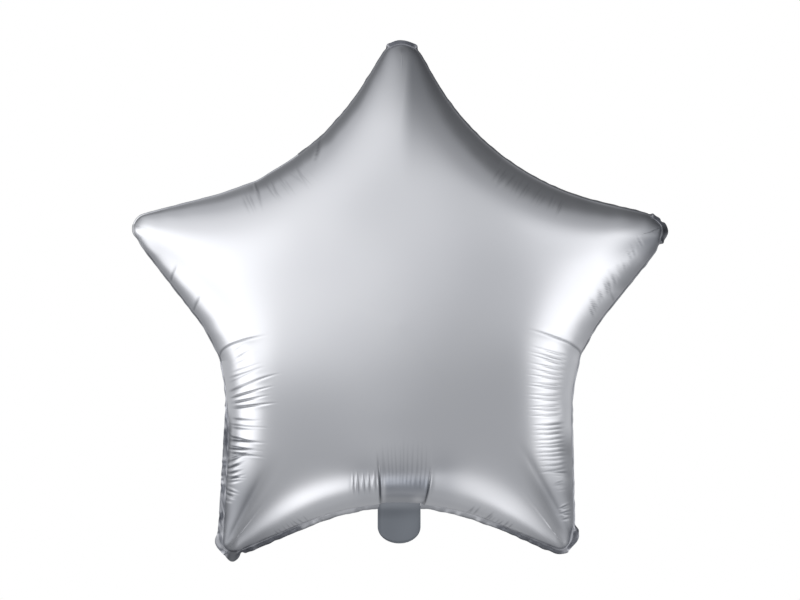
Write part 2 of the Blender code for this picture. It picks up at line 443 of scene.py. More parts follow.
def shownRim():
    # the inflated rim as it is seen: moved in where the weld shows, and at the marks
    rim = rimFrame()
    rim["shown"] = weldShowing(rim)
    rim["shift"] = starCut["weldShown"] * rim["shown"] + marked(rim["points"], edgeMarks, "inward")
    evened = starCut["shiftEvened"]
    kernel = np.hanning(2 * evened + 1)
    padded = np.concatenate([rim["shift"][-evened:], rim["shift"], rim["shift"][:evened]])
    rim["shift"] = np.convolve(padded, kernel / kernel.sum(), "valid")
    rim["wave"] = seamHeights(rim)
    rim["cut"] = rim["points"]
    rim["points"] = rim["points"] + rim["inward"] * rim["shift"][:, None]
    return rim


def travelled(points):
    # the distance gone round the rim at each point
    return np.cumsum(np.linalg.norm(points - np.roll(points, 1, axis=0), axis=1))


def ripple(rng, travel, waveLengths, parts):
    # waves of drawn lengths, a whole number of each round the rim
    wave = np.zeros(len(travel))
    for k in range(parts):
        turns = round(travel[-1] / rng.uniform(*waveLengths))
        wave += np.sin(2 * math.pi * (turns * travel / travel[-1] + rng.uniform()))
    return wave / math.sqrt(parts)


def seamHeights(rim):
    rng = np.random.default_rng(seamWave["seed"])
    wave = ripple(rng, travelled(rim["points"]), seamWave["waveLengths"], seamWave["parts"])
    heights = seamWave["heights"]
    atNotch = 1 - smoothStep(*seamWave["notchReach"], rim["along"])
    size = heights["straight"] + (heights["notch"] - heights["straight"]) * atNotch
    onLegSide = np.isin(rim["run"], (3, 6)) * (1 - smoothStep(*seamWave["legReach"], rim["along"]))
    return wave * (size + (heights["legSide"] - size) * onLegSide)


# Fine puckers across the seam, where the rim's film is too long for the blown-up edge. Half arms
# are counted clockwise from the top tip; places run from the notch along the rim.
puckers = dict(
    seed=5,
    sharpness=1.2,
    width=(0.0009, 0.0013),
    narrowing=(1.25, 0.65),  # this many widths wide at the rim, and how much of that is lost at the end
    swell=(0.42, 2.6),       # the film beside one stands up: share of its depth, and width
    flank=(1.8, 0.9),        # its flanks with painted light: how far from its middle, and width
    rise=(-0.004, 0.005),    # it deepens over this range around its start
    fallFrom=0.5,            # and gets shallower from this share of its reach on
    searchReach=0.08,
    darkDepth=0.0008,        # as deep as this, its valley's painted shade is darkest
    darkWidth=0.70,
    ridges=(0.15, -0.6),     # share of those that stand up as ridges, and how high
    # how much each varies from the rest of its family
    spread=dict(start=(-0.2, 0.4), stop=(-0.20, 0.08), lean=5, bend=1.6, depth=0.4, step=0.33),
    families=(
        # half arm, places, spacing, start and end from the rim at the first place and at the last, lean
        # there in degrees, depth, how much all these vary, how much painted shade in the valleys and painted
        # light on the flanks
        (6, (0.000, 0.013), 0.0036, (0.018, 0.040), (0.012, 0.038), (14, 10), 0.00055, 1.0, 1.0, 0.0),
        (6, (0.015, 0.024), 0.0040, (0.009, 0.040), (0.007, 0.040), (14, 18), 0.00050, 1.0, 1.0, 0.0),
        (6, (0.0275, 0.0440), 0.0042, (0.006, 0.052), (0.006, 0.048), (22, 4), 0.00105, 1.0, 0.60, 0.0),
        (6, (0.048, 0.058), 0.0040, (0.006, 0.042), (0.006, 0.040), (3, 2), 0.00060, 1.0, 1.0, 0.0),
        (6, (0.062, 0.080), 0.0038, (0.006, 0.044), (0.006, 0.038), (-8, 4), 0.00115, 1.0, 1.0, 0.5),
        (6, (0.082, 0.108), 0.0030, (0.007, 0.032), (0.006, 0.022), (14, 18), 0.00095, 1.0, 1.0, 0.9),
        (6, (0.109, 0.121), 0.0026, (0.005, 0.019), (0.005, 0.015), (0, -12), 0.00075, 1.0, 1.0, 0.9),
        (3, (-0.002, 0.050), 0.0041, (0.016, 0.050), (0.012, 0.042), (0, 1), 0.00085, 0.25, 0.20, 0.0),
        (3, (0.053, 0.100), 0.0041, (0.010, 0.042), (0.008, 0.034), (1, 2), 0.00090, 0.25, 0.60, 0.0),
        (3, (0.100, 0.116), 0.0040, (0.009, 0.028), (0.008, 0.022), (0, 0), 0.00060, 1.0, 1.0, 0.3),
        (3, (0.128, 0.142), 0.0032, (0.005, 0.018), (0.005, 0.014), (8, 8), 0.00080, 1.0, 1.0, 0.5),
        (2, (0.030, 0.110), 0.0028, (0.014, 0.026), (0.017, 0.030), (-28, -28), 0.00070, 0.8, 1.0, 0.5),
        (8, (0.004, 0.062), 0.0036, (0.012, 0.036), (0.010, 0.030), (8, 8), 0.00050, 1.0, 0.3, 0.0),
        (1, (0.004, 0.066), 0.0038, (0.010, 0.034), (0.010, 0.028), (-8, -8), 0.00045, 1.0, 0.3, 0.0),
        (5, (0.0215, 0.043), 0.0046, (0.018, 0.040), (0.018, 0.038), (-6, -12), 0.00090, 0.25, 0.25, 0.0),
        (4, (0.056, 0.100), 0.0036, (0.003, 0.018), (0.003, 0.012), (-14, -14), 0.00042, 1.0, 1.0, 0.0),
        (5, (0.080, 0.112), 0.0042, (0.003, 0.016), (0.003, 0.012), (14, 14), 0.00028, 1.0, 1.0, 0.0),
        (4, (0.000, 0.021), 0.0026, (0.020, 0.072), (0.020, 0.064), (1, 1), 0.00014, 0.3, 1.0, 0.0),
        (5, (0.000, 0.016), 0.0026, (0.020, 0.068), (0.020, 0.064), (-1, -1), 0.00014, 0.3, 1.0, 0.0),
    ),
)


def puckerList(seed):
    rng = np.random.default_rng(seed)
    spread = puckers["spread"]
    ridgeShare, ridgeDepth = puckers["ridges"]
    found = []
    for arm, (low, high), step, first, last, leans, depth, vary, dark, bright in puckers["families"]:
        place = low + rng.uniform(0, 0.5 * step)
        while place < high:
            share = (place - low) / (high - low)
            start, stop = np.array(first) * (1 - share) + np.array(last) * share
            lean = leans[0] * (1 - share) + leans[1] * share
            turned = ridgeDepth if rng.uniform() < ridgeShare * vary else 1
            found.append(dict(
                arm=arm, place=place, dark=dark, bright=bright,
                start=start * (1 + vary * rng.uniform(*spread["start"])),
                stop=stop * (1 + vary * rng.uniform(*spread["stop"])),
                lean=lean + vary * rng.normal(0, spread["lean"]),
                bend=vary * rng.normal(0, spread["bend"]),
                width=rng.uniform(*puckers["width"]),
                depth=depth * (1 + spread["depth"] * vary * rng.uniform(-1, 1)) * turned))
            place += step * (1 + spread["step"] * vary * rng.uniform(-1, 1))
    return found


def addPuckers(flat, rim, seed):
    # height over the smooth body, positive outwards, and how much painted shade and painted light the film
    # gets there
    height, dark, bright = np.zeros((3, len(flat)))
    wide, narrower = puckers["narrowing"]
    swell, swellWidth = puckers["swell"]
    flank, flankWidth = puckers["flank"]
    riseFrom, riseTo = puckers["rise"]
    for pucker in puckerList(seed):
        mine = np.flatnonzero(rim["run"] == pucker["arm"])
        column = mine[np.argmin(np.abs(rim["along"][mine] - pucker["place"]))]
        lean = math.radians(pucker["lean"])
        n = rim["inward"][column]
        ahead = np.array([n[0] * math.cos(lean) - n[1] * math.sin(lean),
                          n[0] * math.sin(lean) + n[1] * math.cos(lean)])
        offset = flat - rim["cut"][column]
        a = offset @ ahead
        near = (a > 0) & (a < pucker["stop"]) & (np.abs(offset).max(1) < puckers["searchReach"])
        near = np.flatnonzero(near)
        a = a[near]
        b = offset[near] @ np.array([-ahead[1], ahead[0]]) - pucker["bend"] * a ** 2
        q = b / (pucker["width"] * (wide - narrower * a / pucker["stop"]))
        across = -np.exp(-np.abs(q) ** puckers["sharpness"]) + swell * np.exp(-(q / swellWidth) ** 2)
        ends = smoothStep(pucker["start"] + riseFrom, pucker["start"] + riseTo, a)
        ends *= 1 - smoothStep(pucker["stop"] * puckers["fallFrom"], pucker["stop"], a)
        height[near] += pucker["depth"] * across * ends
        # painted shade along the pucker's valley and painted light on its flanks
        valley = min(1, max(0, pucker["depth"]) / puckers["darkDepth"])
        line = np.exp(-(q / puckers["darkWidth"]) ** 2)
        dark[near] = np.maximum(dark[near], pucker["dark"] * valley * line * ends)
        beside = np.exp(-((np.abs(q) - flank) / flankWidth) ** 2)
        bright[near] = np.maximum(bright[near], pucker["bright"] * beside * ends)
    return height, dark, bright


# Single folds that show in the film, on the front and on the back. Each has its line as seen from the
# front, depth, width, height and width of the swelling beside it, the lengths over which it sets in and
# runs out, and how much painted shade it gets over which width.
notchFold = (0.0009, 0.0006, 0.0005, 0.0035, (0.000, 0.034), 0.75, 0.0009)
neckFold = (0.0016, 0.0006, 0.0006, 0.0030, (0.000, 0.030), 1.0, 0.0010)
frontFolds = dict(
    leftNotch=(
        ((-0.1600, -0.0300), (-0.1560, -0.0220), (-0.1415, -0.0150), (-0.1120, -0.0090)), *notchFold),
    rightNotch=(
        ((0.1610, -0.0290), (0.1560, -0.0225), (0.1430, -0.0145), (0.1080, -0.0035)), *notchFold),
    neckLeft=(neckCreases["left"], *neckFold),
    neckRight=(neckCreases["right"], *neckFold),
    upperLeft=(
        ((-0.1300, 0.1270), (-0.1265, 0.1170), (-0.1220, 0.1080)),
        0.0009, 0.0012, 0.0005, 0.0040, (0.001, 0.010), 0.35, 0.0009),
    upperLeftShort=(
        ((-0.0700, 0.1660), (-0.0735, 0.1440), (-0.0760, 0.1370)),
        0.0007, 0.0013, 0.0004, 0.0040, (0.001, 0.010), 0.35, 0.0009),
    leftArmLow=(
        ((-0.2030, 0.0370), (-0.1950, 0.0520)),
        0.0006, 0.0012, 0.0003, 0.0030, (0.001, 0.008), 0.5, 0.0009),
    leftArmLower=(
        ((-0.1825, 0.0110), (-0.1740, 0.0255)),
        0.0007, 0.0012, 0.0003, 0.0030, (0.001, 0.008), 0.5, 0.0009),
    rightArmLow=(
        ((0.1890, 0.0200), (0.1780, 0.0430)),
        0.0006, 0.0012, 0.0003, 0.0030, (0.001, 0.010), 0.35, 0.0009),
    leftLegRidge=(
        ((-0.1540, -0.1920), (-0.1390, -0.1640), (-0.1150, -0.1200)),
        0.0004, 0.0030, 0.0002, 0.0080, (0.004, 0.034), 0.10, 0.0024),
    rightLegRidge=(
        ((0.1540, -0.1930), (0.1330, -0.1560), (0.0990, -0.0960)),
        0.0004, 0.0030, 0.0002, 0.0080, (0.004, 0.034), 0.17, 0.0024),
)
backFolds = dict(
    leftNotchBack=(
        ((-0.1600, -0.0300), (-0.1540, -0.0250), (-0.1300, -0.0210)),
        0.0014, 0.0013, 0.0009, 0.0060, (0.000, 0.018), 0.7, 0.0009),
    rightNotchBack=(
        ((0.1610, -0.0290), (0.1540, -0.0210), (0.1200, -0.0110)),
        0.0015, 0.0013, 0.0009, 0.0060, (0.000, 0.026), 0.7, 0.0009),
    neckLeftBack=(
        ((-0.0190, -0.1640), (-0.0200, -0.1560), (-0.0240, -0.1260)),
        0.0018, 0.0010, 0.0006, 0.0035, (0.002, 0.020), 0.8, 0.0009),
    neckRightBack=(
        ((0.0185, -0.1640), (0.0180, -0.1560), (0.0190, -0.1200)),
        0.0018, 0.0010, 0.0006, 0.0035, (0.002, 0.024), 0.8, 0.0009),
    upperRightBack=(
        ((0.1150, 0.1290), (0.1120, 0.1200), (0.1070, 0.1080)),
        0.0008, 0.0012, 0.0004, 0.0040, (0.001, 0.010), 0.3, 0.0009),
)
# How often the corners of their lines are rounded, where they set in at the least, and how sharp they are.
foldShape = dict(roundings=3, startsFrom=-0.001, leastRise=0.0011, sharpness=1.3)


def lineDistance(flat, line):
    # distance from a bent line, and how far along it the nearest place is
    best = np.full(len(flat), np.inf)
    place = np.zeros(len(flat))
    gone = 0.0
    for start, stop in zip(line, line[1:]):
        span = stop - start
        length = np.linalg.norm(span)
        share = np.clip((flat - start) @ span / length ** 2, 0, 1)
        distance = np.linalg.norm(flat - start - share[:, None] * span, axis=1)
        closer = distance < best
        best[closer] = distance[closer]
        place[closer] = gone + share[closer] * length
        gone += length
    return best, place, gone


def roundedLine(line):
    # the given line with its corners rounded
    line = np.array(line)
    if len(line) > 2:
        for turn in range(foldShape["roundings"]):
            cut = [line[:1]]
            for start, stop in zip(line, line[1:]):
                cut.append(np.stack([0.75 * start + 0.25 * stop, 0.25 * start + 0.75 * stop]))
            line = np.vstack(cut + [line[-1:]])
    return line


def addFolds(flat, folds):
    height, dark = np.zeros((2, len(flat)))
    for line, depth, width, swell, swellWidth, (first, last), darkness, darkWidth in folds.values():
        distance, place, length = lineDistance(flat, roundedLine(line))
        ends = smoothStep(foldShape["startsFrom"], max(first, foldShape["leastRise"]), place)
        ends *= 1 - smoothStep(length - last, length, place)
        height -= depth * np.exp(-(distance / width) ** foldShape["sharpness"]) * ends
        height += swell * np.exp(-(distance / swellWidth) ** 2) * ends
        # painted shade along the fold
        dark = np.maximum(dark, darkness * np.exp(-(distance / darkWidth) ** 2) * ends)
    return height, dark


def settle(points):
    # the small lopsidedness of the real balloon, the same for every piece of the body
    points[:, 2] -= starCut["lean"] * points[:, 0] * points[:, 2]
    return points


def faceNormals(points, quads):
    normals = np.zeros_like(points)
    cross = np.cross(points[quads[:, 2]] - points[quads[:, 0]], points[quads[:, 3]] - points[quads[:, 1]])
    for k in range(4):
        for axis in range(3):
            normals[:, axis] += np.bincount(quads[:, k], cross[:, axis], len(points))
    return normals / np.maximum(np.linalg.norm(normals, axis=1), 1e-12)[:, None]


def meshObject(name, points, faces):
    mesh = bpy.data.meshes.new(name)
    mesh.from_pydata(points.tolist(), [], faces if isinstance(faces, list) else faces.tolist())
    mesh.update()
    item = bpy.data.objects.new(name, mesh)
    bpy.context.scene.collection.objects.link(item)
    builder = bmesh.new()
    builder.from_mesh(mesh)
    bmesh.ops.recalc_face_normals(builder, faces=builder.faces[:])
    builder.to_mesh(mesh)
    builder.free()
    mesh.shade_smooth()
    return item


def pointAttribute(item, name, values):
    attribute = item.data.attributes.new(name, "FLOAT", "POINT")
    attribute.data.foreach_set("value", np.asarray(values, np.float32))


def betweenCreases(flat):
    # 1 between the neck's two creases and 0 outside
    left, right = (np.array(neckCreases[side]) for side in ("left", "right"))
    inside = smoothStep(*neckCreases["soft"], flat[:, 0] - np.interp(flat[:, 1], left[:, 1], left[:, 0]))
    inside *= smoothStep(*neckCreases["soft"], np.interp(flat[:, 1], right[:, 1], right[:, 0]) - flat[:, 0])
    return inside * (flat[:, 1] < neckCreases["below"])


def softSpot(flat, middle, wide, level, high, share):
    return share * np.exp(-((flat[:, 0] - middle) / wide) ** 2 - ((flat[:, 1] - level) / high) ** 2)


def neckShading(flat, between):
    # painted shade between the neck's creases and beside them, lessened by the spots of painted light
    heights, shares = np.array(filmTone["neckShade"]).T
    level = flat[:, 1] + flat[:, 0] ** 2 / (2 * filmTone["neckRimRadius"])
    shade = between * np.interp(level, heights, shares)
    for spot in filmTone["besideNeckShade"]:
        shade = np.maximum(shade, softSpot(flat, *spot) * (1 - between))
    for spot in filmTone["neckLight"]:
        shade *= 1 - softSpot(flat, *spot)
    return shade


def filmShadeAndDulling(flat, rim, column, distance):
    # painted shade and higher roughness near the tips and along the edges
    shadeAndDull = np.zeros(len(flat))
    for tip, reach, share, side, slope, soft in filmTone["tipShadeAndDull"]:
        offset = flat - np.array(tips[tip])
        amount = share * (1 - smoothStep(*reach, np.linalg.norm(offset, axis=1)))
        if side:
            amount *= smoothStep(*soft, side * (offset[:, 0] - slope * offset[:, 1]))
        shadeAndDull = np.maximum(shadeAndDull, amount)
    setsIn, runsOut = filmTone["edgeSoft"]
    for arm, reach, share, (low, high) in filmTone["edgeShadeAndDull"]:
        amount = share * (rim["run"] == arm) * smoothStep(low - setsIn, low + setsIn, rim["along"])
        amount *= 1 - smoothStep(high - runsOut, high, rim["along"])
        shadeAndDull = np.maximum(shadeAndDull, amount[column] * (1 - smoothStep(*reach, distance)))
    return shadeAndDull


def buildBody():
    flat, quads, count = starGrid()
    print("body grid:", len(flat), "points,", len(quads), "quads")
    depth = crownDepth(flat, blownHeight(flat, quads, count))
    rim = shownRim()
    rows = bodyMesh["rows"]
    grid = flat[:rows * count].reshape(rows, count, 2)
    distance = np.full(len(flat), bodyForm["spineDistance"])
    distance[:rows * count] = np.linalg.norm(grid - grid[0], axis=2).ravel()
    column = np.arange(len(flat)) % count
    shift = rim["shift"][column] * np.exp(-distance / bodyForm["shiftReach"])
    flat = flat + rim["inward"][column] * shift[:, None]
    wave = rim["wave"][column] * np.exp(-(distance / seamWave["fadeInward"]) ** 2)
    wave = np.where(distance < bodyForm["waveEnd"], wave, 0)
    between = betweenCreases(flat)
    rise = np.sin(0.5 * math.pi * np.clip(distance / bodyForm["runOutReach"], 0, 1))
    depth = depth * (1 + (rise ** bodyForm["runOutPower"] - 1) * between)
    # painted shade between the neck's creases and beside them
    neckShade = neckShading(flat, between)
    # painted shade, with higher roughness, near the tips and along the edges
    tipShadeAndDull = filmShadeAndDulling(flat, rim, column, distance)

    sides, darks = [], []
    for side, seed, folds in ((-1, puckers["seed"], frontFolds), (1, puckers["seed"] + 1, backFolds)):
        points = np.stack([flat[:, 0], side * depth, flat[:, 1]], 1)
        normals = faceNormals(points, quads)
        normals *= np.sign((normals[:, 1] * side).sum())
        # folds and puckers: height, and painted shade along their valleys
        foldHeight, dark = addFolds(flat, folds)
        puckerHeight, puckerDark, puckerBright = addPuckers(flat, rim, seed)
        # on the front the puckers' flanks get painted light: painted shade and roughness are taken away
        # there
        if side < 0:
            tipShadeAndDull = tipShadeAndDull * (1 - puckerBright)
        height = (puckerHeight + foldHeight) * smoothStep(0.0, bodyForm["foldsRise"], distance)
        dark = np.maximum(dark, puckerDark)
        points += normals * height[:, None]
        points[:, 1] += wave
        sides.append(points)
        darks.append(dark)
    front, back = sides
    front[:count] = np.stack([flat[:count, 0], rim["wave"], flat[:count, 1]], 1)
    points = settle(np.vstack([front, back[count:]]))
    backQuads = np.where(quads < count, quads, quads + len(flat) - count)[:, ::-1]
    body = meshObject("envelopeFoil", points, np.vstack([quads, backQuads]))
    tones = (("neckShade", neckShade, neckShade), ("tipShadeAndDull", tipShadeAndDull, tipShadeAndDull), ("foldDark", *darks))
    for label, onFront, onBack in tones:
        pointAttribute(body, label, np.concatenate([onFront, onBack[count:]]))
    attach(body, "envelope")
    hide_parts("front_panel", "back_panel")
    print("body made")
    return body


# The weld outside the rim: flat and turned a little to the front where it shows, folded back
# against the body everywhere else, with a softly rippled edge.
weldBand = dict(
    seed=23,
    tuck=0.0012,             # how far it reaches into the body's rim
    width=0.0042,
    thickness=0.0004,
    across=8,
    foldedBack=(80, 80, 80, 80, 78, 78, 80, 80, 92, 82),     # each half arm, degrees from the seam's plane
    turnedFront=-34,
    turnWave=(2.5, 9),       # ripple of that turn where folded back and where shown
    leftSideTurn=22,         # on the left leg's side it is turned less and ripples more
    leftSideWave=4,
    bottomTurn=60,           # and near the neck it is turned down
    bottomTurnReach=(0.060, 0.105),
    # painted shade along the bottom away from the neck, and painted light near the neck
    bottomDark=0.35,
    bottomPaintedLight=0.75,
    edgeDark=(0.55, 0.95, 0.75),     # along the bottom its outermost edge gets painted shade: from, to, share
    wider=0.0010,            # on the left leg's side and along the bottom it is wider
    widthWave=0.0002,
    leastWidth=0.0006,
    overEdge=0.0004,         # on that side it reaches at most this far over the outline,
    leastCosine=0.25,        # with its turn counted down to this cosine
    waveLengths=(0.008, 0.030),
    waveParts=7,
    turnsAt=(0.05, 0.6),     # it turns from folded back to the front between these shares of showing
    bendWithin=0.45,         # and bends within this share of its width
    sharpAngle=60,
    neckHalfWidth=0.0184,    # it is open within this of the middle, below this height
    neckBelow=-0.1,
    foldedDark=(0.85, 0.75, 0.50, 0.10, 0.0, 0.0, 0.00, 0.60, 0.00, 0.70),   # painted shade of each half arm, where folded back
)


def buildWeld():
    rng = np.random.default_rng(weldBand["seed"])
    rim = shownRim()
    shown, points = rim["shown"], rim["points"]
    travel = travelled(points)
    ripples = [ripple(rng, travel, weldBand["waveLengths"], weldBand["waveParts"]) for which in range(2)]
    bottom = np.isin(rim["run"], (4, 5)) * shown
    leftSide = (rim["run"] == 6) * shown
    low, high = weldBand["turnWave"]
    folded = np.array(weldBand["foldedBack"])[rim["run"]]
    turn = folded + (weldBand["turnedFront"] - folded) * smoothStep(*weldBand["turnsAt"], shown)
    turn += weldBand["leftSideTurn"] * leftSide
    nearNeck = bottom * (1 - smoothStep(*weldBand["bottomTurnReach"], rim["along"]))
    turn += weldBand["bottomTurn"] * nearNeck
    turn = np.radians(turn + (low + (high - low) * shown + weldBand["leftSideWave"] * leftSide) * ripples[0])
    marks = marked(rim["cut"], weldMarks, "width")
    width = weldBand["width"] + weldBand["widthWave"] * ripples[1] + marks
    width += weldBand["wider"] * np.maximum(bottom, leftSide)
    straight = rim["shift"] + starCut["rimInset"] + weldBand["overEdge"]
    straight = straight / np.maximum(np.cos(turn), weldBand["leastCosine"]) + marks
    width = np.where(rim["run"] == 6, np.minimum(width, straight), width)
    width = np.maximum(width, weldBand["leastWidth"])
    half = weldBand["thickness"] / 2
    out = -rim["inward"]
    place, y = points, rim["wave"]
    middleLine = [(points - out * weldBand["tuck"], y), (place, y)]
    shares = np.linspace(0, 1, weldBand["across"])
    for low, high in zip(shares, shares[1:]):
        angle = turn * smoothStep(0.0, weldBand["bendWithin"], 0.5 * (low + high))
        place = place + out * (width * (high - low) * np.cos(angle))[:, None]
        y = y + width * (high - low) * np.sin(angle)
        middleLine.append((place, y))
    lines = []
    stations = len(middleLine)
    for face in (-1, 1):
        for k in range(stations) if face < 0 else range(stations - 1, -1, -1):
            place, y = middleLine[k]
            angle = turn * smoothStep(0.0, weldBand["bendWithin"], max(k - 1, 0) / (stations - 2))
            flatPlace = place + out * (-face * half * np.sin(angle))[:, None]
            lines.append(np.stack([flatPlace[:, 0], y + face * half * np.cos(angle), flatPlace[:, 1]], 1))
    ring = len(lines)
    count = len(points)
    inGap = (np.abs(points[:, 0]) < weldBand["neckHalfWidth"]) & (points[:, 1] < weldBand["neckBelow"])
    first = int(np.flatnonzero(inGap & ~np.roll(inGap, -1))[0]) + 1
    kept = [(first + k) % count for k in range(count) if not inGap[(first + k) % count]]
    corners = np.stack(lines, 1)[kept].reshape(-1, 3)
    faces = []
    for k in range(len(kept) - 1):
        for m in range(ring):
            n = (m + 1) % ring
            faces.append((k * ring + m, k * ring + n, (k + 1) * ring + n, (k + 1) * ring + m))
    faces.append(tuple(range(ring)))
    faces.append(tuple(range((len(kept) - 1) * ring, len(kept) * ring))[::-1])
    band = meshObject("weldBand", settle(corners), faces)
    band.data.set_sharp_from_angle(angle=math.radians(weldBand["sharpAngle"]))
    # painted shade where folded back, along the bottom, at its outer edge and at the marks; painted light
    # near the neck and at the left tip
    foldedDark = np.array(weldBand["foldedDark"])[rim["run"]]
    bottomDark = weldBand["bottomDark"] * bottom * smoothStep(*weldBand["bottomTurnReach"], rim["along"])
    dark = np.clip(bottomDark + foldedDark * (1 - shown) + marked(rim["cut"], weldMarks, "dark"), 0, 1)
    order = np.arange(ring)
    across = np.where(order < stations, order, ring - 1 - order) / (stations - 1)
    low, high, share = weldBand["edgeDark"]
    edge = share * bottom[kept][:, None] * smoothStep(low, high, across)
    paintedLight = np.clip(weldBand["bottomPaintedLight"] * nearNeck + marked(rim["cut"], weldMarks, "paintedLight"), 0, 1)
    pointAttribute(band, "weldPaintedLight", np.repeat(paintedLight[kept], ring))
    pointAttribute(band, "weldShade", np.maximum(dark[kept][:, None], edge).ravel())
    # where the streaks of painted light and painted shade go
    pointAttribute(band, "weldStreak", np.repeat(leftSide[kept], ring))
    layer = band.data.uv_layers.new(name="alongWeld")
    loopVertices = np.zeros(len(band.data.loops), np.int32)
    band.data.loops.foreach_get("vertex_index", loopVertices)
    u = travel[kept][loopVertices // ring]
    v = across[loopVertices % ring] * weldBand["width"]
    layer.data.foreach_set("uv", np.stack([u, v], 1).astype(np.float32).ravel())
    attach(band, "envelope")
    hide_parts("edge_seal")
    print("weld made")
    return band


# The flat neck: a flattened tube of film, open at its lower end, its back lip a little longer.
neckFilm = dict(
    middle=-0.0008,
    halfWidth=0.0190,
    top=0.1585,              # starts inside the body, this far below the middle
    shoulder=0.1817,         # its rounded end starts here
    end=0.1965,
    frontLip=0.0020,         # the front ends this much earlier
    lipChange=3,             # how suddenly that changes at the sides
    halfDepth=0.0011,
    squareness=(0.85, 0.9),  # of its section, across and in depth
    widthOver=1.0005,        # its rounded end is this much wider, so that it has short straight sides
    opening=(0.3, 0.7, 0.1600, 0.1850),      # share of that depth at the top, gained below, from and to
    ripple=dict(depth=0.0006, across=55, down=25, start=2, reach=(0.163, 0.175)),
    mouth=dict(depth=0.0010, reach=(0.168, 0.1965)),
    hollow=dict(depth=0.0010, reach=(0.162, 0.186)),
    topLightReach=(0.1600, 0.1680),      # it gets painted light down to here, and this far in from its left edge painted shade by this share
    darkReach=(0.0006, 0.0040),      # and this far in from its left edge it is darker by this share
    darkShare=0.6,
    wall=0.0003,
    sides=72,
    rings=44,
    foldStart=(0.0, 0.0, -0.1622),
    foldEnd=(0.0, 0.0, -0.1722),
)


def deselectAll():
    if bpy.context.object and bpy.context.object.mode != "OBJECT":
        bpy.ops.object.mode_set(mode="OBJECT")
    bpy.ops.object.select_all(action="DESELECT")


def neckDepth(x, z, side):
    # the neck's flat section opens downwards, ripples a little, and is hollow from the front
    waves, mouth, hollow = neckFilm["ripple"], neckFilm["mouth"], neckFilm["hollow"]
    first, gained, openFrom, openTo = neckFilm["opening"]
    y = neckFilm["halfDepth"] * side * (first + gained * smoothStep(openFrom, openTo, -z))
    wave = np.sin(waves["across"] * x - waves["down"] * z - waves["start"])
    y += waves["depth"] * wave * smoothStep(*waves["reach"], -z)
    y += mouth["depth"] * smoothStep(*mouth["reach"], -z) ** 2 * side
    y -= hollow["depth"] * (x / neckFilm["halfWidth"]) ** 2 * smoothStep(*hollow["reach"], -z)
    return y


def buildNeck():
    deselectAll()
    length = neckFilm["end"] - neckFilm["top"]
    bpy.ops.mesh.primitive_cylinder_add(
        vertices=neckFilm["sides"], radius=1.0, depth=length, end_fill_type="NOTHING",
        location=(0, 0, -neckFilm["top"] - length / 2))
    neck = bpy.context.object
    neck.name = "neckFilm"
    bpy.ops.object.transform_apply(location=True, rotation=True, scale=True)
    bpy.ops.object.mode_set(mode="EDIT")
    bpy.ops.mesh.select_mode(type="EDGE")
    bpy.ops.mesh.select_all(action="DESELECT")
    bpy.ops.object.mode_set(mode="OBJECT")
    for edge in neck.data.edges:
        a, b = (neck.data.vertices[v].co for v in edge.vertices)
        edge.select = abs(a.z - b.z) > length / 2
    bpy.ops.object.mode_set(mode="EDIT")
    bpy.ops.mesh.subdivide(number_cuts=neckFilm["rings"])
    bpy.ops.object.mode_set(mode="OBJECT")
    co = np.array([v.co for v in neck.data.vertices])
    turn = np.arctan2(co[:, 1], co[:, 0])
    low = np.clip((-co[:, 2] - neckFilm["top"]) / length, 0, 1)
    acrossPower, depthPower = neckFilm["squareness"]
    x = neckFilm["halfWidth"] * np.sign(np.cos(turn)) * np.abs(np.cos(turn)) ** acrossPower
    side = np.sign(np.sin(turn)) * np.abs(np.sin(turn)) ** depthPower
    end = neckFilm["end"] - neckFilm["frontLip"] * (0.5 - 0.5 * np.tanh(neckFilm["lipChange"] * side))
    outwards = x / (neckFilm["halfWidth"] * neckFilm["widthOver"])
    drop = (end - neckFilm["shoulder"]) * np.sqrt(np.clip(1 - outwards ** 2, 0, 1))
    stop = neckFilm["shoulder"] + drop
    z = -(neckFilm["top"] + (stop - neckFilm["top"]) * low)
    y = neckDepth(x, z, side)
    co = np.stack([x + neckFilm["middle"], y, z], 1)
    neck.data.vertices.foreach_set("co", co.astype(np.float32).ravel())
    neck.data.update()
    wall = neck.modifiers.new("wall", "SOLIDIFY")
    wall.thickness = neckFilm["wall"]
    wall.offset = 0.0
    smooth = neck.modifiers.new("smooth", "SUBSURF")
    smooth.levels = 1
    smooth.render_levels = 1
    bpy.ops.object.modifier_apply(modifier="wall")
    bpy.ops.object.modifier_apply(modifier="smooth")
    neck.data.shade_smooth()
    co = np.array([v.co for v in neck.data.vertices])
    # painted light at the neck's top, and painted shade along its left edge
    pointAttribute(neck, "neckTopLight", 1 - smoothStep(*neckFilm["topLightReach"], -co[:, 2]))
    fromLeft = neckFilm["halfWidth"] - neckFilm["middle"] + co[:, 0]
    besideLeft = 1 - smoothStep(*neckFilm["darkReach"], fromLeft)
    pointAttribute(neck, "neckEdgeShade", neckFilm["darkShare"] * besideLeft)
    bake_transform(neck)
    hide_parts("neck_root", "neck_front_film", "neck_back_film", "neck_left_weld", "neck_right_weld")
    neck.visible_glossy = False
    print("neck made")
    return neck


# Materials. Grain of the satin film: fine noise for gloss and bump, slow noise for tone.
grainNoise = dict(scale=2600.0, detail=3.0, cloudScale=14.0, cloudDetail=4.0)


def connect(tree, node, inputs):
    # sets inputs of a node, each to a value or to the output of another node
    for label, value in inputs.items():
        if isinstance(value, bpy.types.NodeSocket):
            tree.links.new(value, node.inputs[label])
        else:
            node.inputs[label].default_value = value


def addNode(tree, kind, inputs):
    node = tree.nodes.new("ShaderNode" + kind)
    connect(tree, node, inputs)
    return node


